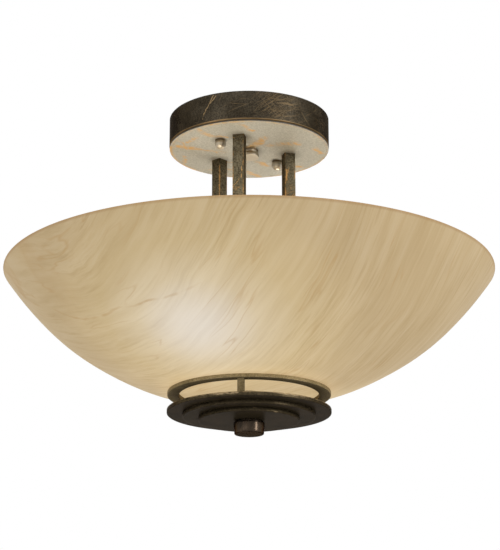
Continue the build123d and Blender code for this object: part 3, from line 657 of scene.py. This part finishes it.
# Leads and splices. Black and white insulated wires, one pair for each lampholder, that come down
# inside the first rod. In the canopy each pair ends in a twist-on connector, moulded in orange
# plastic with grips along it.
for colour, low, high in (("black", 0.014, 0.03), ("white", 0.66, 0.78)):
    insulation, tree, shader = finish(f"{colour}_insulation", Specular_IOR_Level=0.4)
    drawn = cloud(tree, place(tree, stretch=(400, 400, 60)), detail=3)
    plain_colour = ramp(tree, drawn, (0.35, low), (0.65, high))
    surfaced(tree, shader, plain_colour, ramp(tree, drawn, (0.35, 0.35), (0.65, 0.5)))
    coated(insulation, "hot_leads" if colour == "black" else "neutral_leads")
splice_plastic, tree, shader = finish("splice_plastic", Specular_IOR_Level=0.45)
flow = cloud(tree, place(tree), scale=260, detail=3)
orange = ramp(tree, flow, (0.35, (0.55, 0.13, 0.02)), (0.65, (0.7, 0.19, 0.03)))
surfaced(tree, shader, orange, ramp(tree, flow, (0.35, 0.38), (0.65, 0.52)))


def twist_on(side, grips=20):
    """A connector that lies in the canopy, its open end towards the rod; side is 1 or -1."""
    shell = [(0, 10), (3, 10), (3, 0), (5, 0), (4.85, 2.5), (4.75, 3), (3.6, 17.5), (3.2, 19), (2.2, 20),
             (0, 20)]
    made = lathe(shell, steps=40)
    for vert in made.verts:
        radius, along = math.hypot(vert.co.x, vert.co.y) / mm, vert.co.z / mm
        around = math.atan2(vert.co.y, vert.co.x) / math.tau * grips
        if radius > 3.2 and 2.8 < along < 18 and around % 1 > 0.25:
            bmesh.ops.scale(made, verts=[vert], vec=(0.92, 0.92, 1))
    turn = Matrix.Rotation(math.radians(90 * side), 4, "Y")
    there = Matrix.Translation((14 * side * mm, (35 + 1.3 * side) * mm, -12.7 * mm))
    bmesh.ops.transform(made, matrix=there @ turn, verts=made.verts)
    return made


splices = gathered(twist_on(1), twist_on(-1))
flat_sided(piece("gripped_splices", splices, splice_plastic, "root", "splice_plastic", "splices"))

# Lamps. Two frosted globe lamps, lit, in rolled aluminium caps. They shine through the glass of the
# bowl below and up on the canopy plate.
cap_aluminium, tree, shader = finish("cap_aluminium", Metallic=1.0)
dull = cloud(tree, place(tree), scale=350, detail=3)
surfaced(tree, shader, ramp(tree, dull, (0.3, 0.5), (0.7, 0.66)), ramp(tree, dull, (0.3, 0.25), (0.7, 0.38)))
frosted_glass, tree, shader = finish("frosted_glass", Roughness=0.45, Emission_Strength=8.0)
frost = cloud(tree, place(tree), scale=500, detail=3)
unlit = ramp(tree, frost, (0.3, (0.86, 0.84, 0.8)), (0.7, (0.93, 0.92, 0.88)))
warm_light = ramp(tree, frost, (0.3, (0.94, 0.86, 0.74)), (0.7, (1.0, 0.93, 0.82)))
tree.links.new(unlit, shader.inputs["Base Color"])
tree.links.new(warm_light, shader.inputs["Emission Color"])
for number, azimuth in lamps:
    rolled = thread_outline(radius=13.0, top=29.0, bottom=45.3, pitch=lamp_pitch, depth=0.5)
    cap = [(0, 24.1), (4, 24.1), (4, 25.5), (12.6, 28.5)] + rolled
    cap += [(13.0, 47.0), (12.4, 47.0), (12.4, 44.5), (0, 44.5)]
    cap = laid_out(lathe(cap, steps=64), azimuth)
    cap = piece(f"rolled_lamp_cap_{number}", cap, cap_aluminium, f"lamp_{number}", "lamp_cap_metal",
                f"lamp_cap_{number}")
    flat_sided(cap, 50)
    coated(frosted_glass, f"lamp_glass_{number}")

# Glass bowl. A disc of streaky cream and amber glass, slumped over a mould and etched satin on both
# sides. The colour runs through the sheet in long, nearly parallel streaks, broad soft ones and
# hairlines, with smoke that curls at one side. The lamps' light through it is painted on as its glow,
# most near its bottom, with a whitish painted hot spot below each lamp.


def streaks(tree, where, along, across, **settings):
    """Noise drawn out along the streaks; along and across are features per metre."""
    return cloud(tree, stretched(tree, where, (along, across, 1)), **settings)


satin_glass, tree, shader = finish("satin_glass", Specular_IOR_Level=0.12, Emission_Strength=1.0)
sheet = place(tree, stretch=(1, 1, 0), turn=-79.4)
bent = sheet
for scale, distance in ((4, 0.045), (18, 0.009), (70, 0.0012)):
    bent = moved_about(tree, bent, scale, distance)
smoky_side = stroke(tree, sheet, (60, 175, 0), (95, 120, 0), 80)

broad = streaks(tree, bent, 6, 34, detail=3, roughness=0.5)
amber, honey, cream = (0.515, 0.38, 0.206), (0.55, 0.412, 0.23), (0.585, 0.445, 0.258)
glass = ramp(tree, broad, (0.3, amber), (0.5, honey), (0.7, cream))
glass = layer(tree, times(tree, smoky_side, 0.3), glass, (0.63, 0.48, 0.275))
wide = streaks(tree, bent, 13, 130, detail=4, roughness=0.6)
glass = layer(tree, ramp(tree, wide, (0.5, 0), (0.7, 0.36)), glass, (0.455, 0.32, 0.155))
glass = layer(tree, ramp(tree, wide, (0.32, 0.34), (0.5, 0)), glass, (0.62, 0.49, 0.31))
fine = streaks(tree, bent, 26, 420, detail=4, roughness=0.65)
clustered = ramp(tree, streaks(tree, bent, 8, 20, detail=2), (0.38, 0.2), (0.6, 0.85))
clustered = times(tree, clustered, calc(tree, "SUBTRACT", 1.0, times(tree, smoky_side, 0.55)))
dark_threads = times(tree, clustered, ramp(tree, fine, (0.5, 0), (0.72, 0.6)))
glass = layer(tree, dark_threads, glass, (0.37, 0.245, 0.108))
pale_threads = times(tree, clustered, ramp(tree, fine, (0.3, 0.35), (0.48, 0)))
glass = layer(tree, pale_threads, glass, (0.64, 0.52, 0.35))

hair = ramp(tree, streaks(tree, bent, 7, 70, detail=2.5, roughness=0.5), (0.485, 0), (0.5, 1), (0.515, 0))
hair = times(tree, hair, ramp(tree, streaks(tree, bent, 14, 34, detail=2), (0.48, 0), (0.6, 0.55)))
swirled = moved_about(tree, bent, 26, 0.03)
curl = cloud(tree, swirled, scale=11, detail=3, roughness=0.5, distortion=0.8)
curl = ramp(tree, curl, (0.46, 0), (0.5, 1), (0.55, 0))
curl_patches = ramp(tree, cloud(tree, bent, scale=14, detail=2), (0.42, 0), (0.6, 0.7))
curl = times(tree, curl, times(tree, smoky_side, curl_patches))
bends = ((72.8, 169.2, 0), (40.0, 156.0, 0), (14.7, 147.0, 0), (-31.5, 144.7, 0), (-72.3, 130.5, 0),
         (-102.2, 119.3, 0))
long_vein = [(start, end, 1.3) for start, end in zip(bends, bends[1:])]
long_vein = strokes(tree, moved_about(tree, sheet, 45, 0.007), long_vein)
faintness = ramp(tree, cloud(tree, bent, scale=30, detail=2), (0.35, 0.15), (0.6, 1.0))
long_vein = times(tree, long_vein, faintness)
veins = most(tree, hair, times(tree, curl, 0.75), long_vein)
glass = layer(tree, times(tree, veins, 0.6), glass, (0.37, 0.215, 0.075))
# Darker brown at the rim: partly the glass seen edge-on there, and partly painted shade where less of the
# lamps' light comes through.
rim_shade = fade(tree, height_of(tree, put(tree, "TexCoord").outputs["Object"]), -140.5 * mm, -138.0 * mm)
glass = layer(tree, times(tree, rim_shade, 0.75), glass, (0.33, 0.17, 0.06))
body_colour = layer(tree, 1.0, glass, (0.62, 0.62, 0.62), "MULTIPLY")
surfaced(tree, shader, body_colour, ramp(tree, fine, (0.3, 0.52), (0.7, 0.64)))
dented(tree, shader, broad, 0.1, 0.2)

# Painted light: the glass glows by its emission, brighter towards the bottom and in a whitish hot spot below
# each lamp.
to_bottom = nearness(tree, (5, 5, 5), centre=(0, 0, -236 * mm))
through = ramp(
    tree, to_bottom, (0, 0.38), (0.25, 0.445), (0.45, 0.505), (0.6, 0.62), (0.69, 0.9), (0.74, 1.0),
)
lit = layer(tree, 1.0, glass, through, "MULTIPLY")
glow = 0.0
for number, azimuth in lamps:
    below = math.radians(azimuth + 10)
    middle = (104 * mm * math.cos(below), 104 * mm * math.sin(below), -180 * mm)
    glow = calc(tree, "ADD", glow, calc(tree, "POWER", nearness(tree, (7, 7, 7), centre=middle), 2.5))
flare = ramp(
    tree, glow, (0, 0), (0.035, (0.05, 0.042, 0.022)), (0.12, (0.092, 0.081, 0.046)),
    (0.27, (0.175, 0.175, 0.150)), (0.48, (0.28, 0.325, 0.385)),
)
flare = layer(tree, times(tree, veins, 0.5), flare, (0.09, 0.045, 0.01))
tree.links.new(layer(tree, 1.0, lit, flare, "ADD"), shader.inputs["Emission Color"])
coated(satin_glass, "glass_bowl")

# Trim ring and its felt pad. A flat steel ring, 133 mm across, that bears on the glass through a thin
# brown felt. It has the rods' paint, painted much lighter all over as painted light, and worn lighter
# along its edges.
ring_inside, ring_outside, ring_top, ring_bottom = 57.05, 66.65, -237.1, -240.1
ring_wear = dict(bareness=0.5, scratched=0.15, rough=0.55, metal=0.3)
# Painted light: a much lighter copy of the rods' paint, for the light that falls on the ring.
lit_ring_bronze = aged_bronze(
    "lit_ring_bronze", dark=(0.222, 0.166, 0.081), light=(0.305, 0.232, 0.12), worn=(0.38, 0.285, 0.16),
    **ring_wear,
)
ring = [(ring_inside, ring_top), (ring_outside, ring_top), (ring_outside, ring_bottom),
        (ring_inside, ring_bottom)]
ring = lathe(ring, reach=1.4, ease=0.4, closed=True)
piece("flat_trim_ring", ring, lit_ring_bronze, "trim", "trim_bronze", "trim_ring")
pad_felt, tree, shader = finish("pad_felt", Roughness=0.95, Specular_IOR_Level=0.1)
fibres = cloud(tree, place(tree), scale=1400, detail=4, roughness=0.7)
brown = ramp(tree, fibres, (0.3, (0.06, 0.04, 0.022)), (0.7, (0.11, 0.08, 0.048)))
tree.links.new(brown, shader.inputs["Base Color"])
dented(tree, shader, fibres, 0.6, 0.2)
coated(pad_felt, "ring_pad")

# Ring posts. Three short square bars, welded between the ring and the top disc, each a little past
# a rod. Their paint is the ring's, painted a step darker as painted shade, and their arrises are worn like
# the ring's.
discs_top = -251.6
posts = [
    square_tube(width=5.4, wall=0, top=ring_bottom, bottom=discs_top, azimuth=azimuth, distance=61.85,
                reach=0.9, ease=0.35)
    for azimuth in (97.5, 217.5, 337.5)
]
# Painted shade: a darker copy of the ring's paint, for the shade the posts stand in.
shaded_post_bronze = aged_bronze(
    "shaded_post_bronze", dark=(0.14, 0.105, 0.052), light=(0.20, 0.152, 0.08), worn=(0.33, 0.25, 0.14),
    **ring_wear,
)
posts = piece("square_ring_posts", gathered(*posts), shaded_post_bronze, "trim", "trim_bronze", "ring_posts")
flat_sided(posts, 50)

# Stepped discs. Three steel discs, 134, 108 and 82 mm across, stacked under the ring, the widest on
# top. Their copy of the rods' paint is painted near black as painted shade, and they are brown along
# their top edges and sides, partly wear and partly a painted highlight from the glass above.
disc_bore, disc_thickness = 5.3, 3.2


def disc_marks(tree, spot, speck):
    """A rubbed orange place on the front of the widest disc, and a nick on the smallest."""
    made = strokes(tree, moved_about(tree, spot, 220, 0.004), (
        ((-63.6, -20.7, -252.3), (-60.3, -29.0, -252.3), 1.3),
        ((-60.3, -29.0, -252.2), (-54.5, -38.8, -252.2), 1.1),
        ((-13.0, -38.9, -261.0), (-9.5, -39.9, -261.0), 0.7),
    ))
    return times(tree, broken(tree, speck, made), 0.85)


def disc_wear_and_highlight(edge, top, arris):
    """Wear and painted highlight at a disc's edge: strongest along the top arris, less down the side, and
    none at the bottom.
    """
    def worn(radius, height):
        if radius <= edge - 0.55 or height <= top - 2.2:
            return 0.0
        return arris if height > top - 1.0 else 0.6
    return worn


# Painted shade: a near black copy of the rods' paint, with the top edges and sides lit up in the worn colour
# as a painted highlight.
shaded_disc_bronze = aged_bronze(
    "shaded_disc_bronze", dark=(0.041, 0.031, 0.0165), light=(0.066, 0.05, 0.029), worn=(0.27, 0.2, 0.115),
    bareness=0.85, scratched=0.06, grain=0.6, rough=0.36, metal=0.6, marks=disc_marks,
)
for number, radius, arris in ((1, 66.95, 0.95), (2, 54.0, 0.8), (3, 41.0, 0.65)):
    top = discs_top - (number - 1) * disc_thickness
    bottom = top - disc_thickness
    disc = [(disc_bore, top), (radius, top), (radius, bottom), (disc_bore, bottom)]
    disc = lathe(disc, reach=1.5, ease=0.5, closed=True, worn=disc_wear_and_highlight(radius, top, arris))
    piece(f"stepped_disc_{number}", disc, shaded_disc_bronze, "trim", "trim_bronze", f"trim_disc_{number}")

# Finial and its washer. A turned knob that screws on the centre tube and clamps the discs, the ring
# and the glass together. It is slightly tapered, and handled more, so it has a soft shine.
finial_bronze = aged_bronze(
    "finial_bronze", dark=(0.032, 0.025, 0.019), light=(0.080, 0.056, 0.038), worn=(0.22, 0.13, 0.07),
    bareness=0.1, scratched=0.2, grain=0.2, rough=0.24, metal=0.9,
)
washer_top, knob_top, knob_bottom = -261.2, -262.1, -271.7
washer = [(disc_bore, washer_top), (11.5, washer_top), (11.5, knob_top), (disc_bore, knob_top)]
washer = lathe(washer, steps=96, reach=0.4, ease=0.2, closed=True, worn=lambda radius, height: 0.0)
piece("turned_finial_washer", washer, finial_bronze, "washer", "trim_bronze", "finial_washer")
knob = [(0, -269.3), (4.95, -269.3), (4.95, knob_top), (12.75, knob_top), (12.0, knob_bottom),
        (0, knob_bottom)]
knob = lathe(knob, steps=128, reach=1.6, ease=0.7)
piece("turned_finial", knob, finial_bronze, "finial", "trim_bronze", "finial")

# Studio. A plain pale floor far below the light, a white room, and two large soft lamps. The room is
# white to the camera and in reflections, and lights the pieces at a plainer level.
floor_level, floor_radius = -2.5, 12.5
floor_mesh = bmesh.new()
bmesh.ops.create_circle(floor_mesh, cap_ends=True, segments=96, radius=floor_radius)
bmesh.ops.translate(floor_mesh, verts=floor_mesh.verts, vec=(0, 0, floor_level))
floor_data = bpy.data.meshes.new("pale_floor")
floor_mesh.to_mesh(floor_data)
floor_mesh.free()
pale_floor = bpy.data.objects.new("pale_floor", floor_data)
bpy.context.scene.collection.objects.link(pale_floor)
floor_paint, tree, shader = finish("floor_paint", Roughness=0.8, Specular_IOR_Level=0.2)
tint = cloud(tree, place(tree), scale=1.2, detail=2)
tree.links.new(ramp(tree, tint, (0.3, 0.79), (0.7, 0.81)), shader.inputs["Base Color"])
floor_data.materials.append(floor_paint)
pale_floor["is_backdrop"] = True

room = bpy.data.worlds.new("white_room")
room.use_nodes = True
tree = room.node_tree
rays = put(tree, "LightPath").outputs
seen = calc(tree, "ADD", rays["Is Camera Ray"], rays["Is Glossy Ray"])
seen = calc(tree, "ADD", seen, rays["Is Transmission Ray"])
lighting, white = 0.72, 1.0
strength = put(tree, "MapRange", {"Value": seen, "To Min": lighting, "To Max": white}).outputs[0]
tree.links.new(strength, tree.nodes["Background"].inputs["Strength"])
tree.nodes["Background"].inputs["Color"].default_value = (1, 1, 1, 1)
bpy.context.scene.world = room


def soft_lamp(name, spot, power, width, height):
    """A large soft lamp that faces the middle of the light."""
    lamp = bpy.data.lights.new(name, "AREA")
    lamp.shape = "RECTANGLE"
    lamp.size = width
    lamp.size_y = height
    lamp.energy = power
    made = bpy.data.objects.new(name, lamp)
    made.location = spot
    made.rotation_euler = (Vector((0, 0, -0.14)) - Vector(spot)).to_track_quat("-Z", "Y").to_euler()
    made.visible_camera = False
    bpy.context.scene.collection.objects.link(made)


soft_lamp("window_side", (-1.75, -0.3, 0.5), power=9, width=1.2, height=1.2)
soft_lamp("front_strip", (0.22, -1.48, 0.12), power=11, width=0.25, height=0.9)

# Camera. It stands 1.4 m away and well below the ceiling, and looks up at the light by 17 degrees.
# Its lens is long, so that the light fills the frame from there.
view = bpy.data.cameras.new("camera")
view.lens = 118.57
view.shift_x = 0.0015
camera = bpy.data.objects.new("camera", view)
camera.location = (-1.0453, -0.9885, -0.5773)
tilt = 0.2971
line_of_sight = Vector((0.7266 * math.cos(tilt), 0.6871 * math.cos(tilt), math.sin(tilt)))
camera.rotation_euler = line_of_sight.to_track_quat("-Z", "Y").to_euler()
bpy.context.scene.collection.objects.link(camera)
bpy.context.scene.camera = camera
bpy.context.scene.view_settings.view_transform = "Standard"

plain = [[list(corner) for corner in box] for box in (cad_box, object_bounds())]
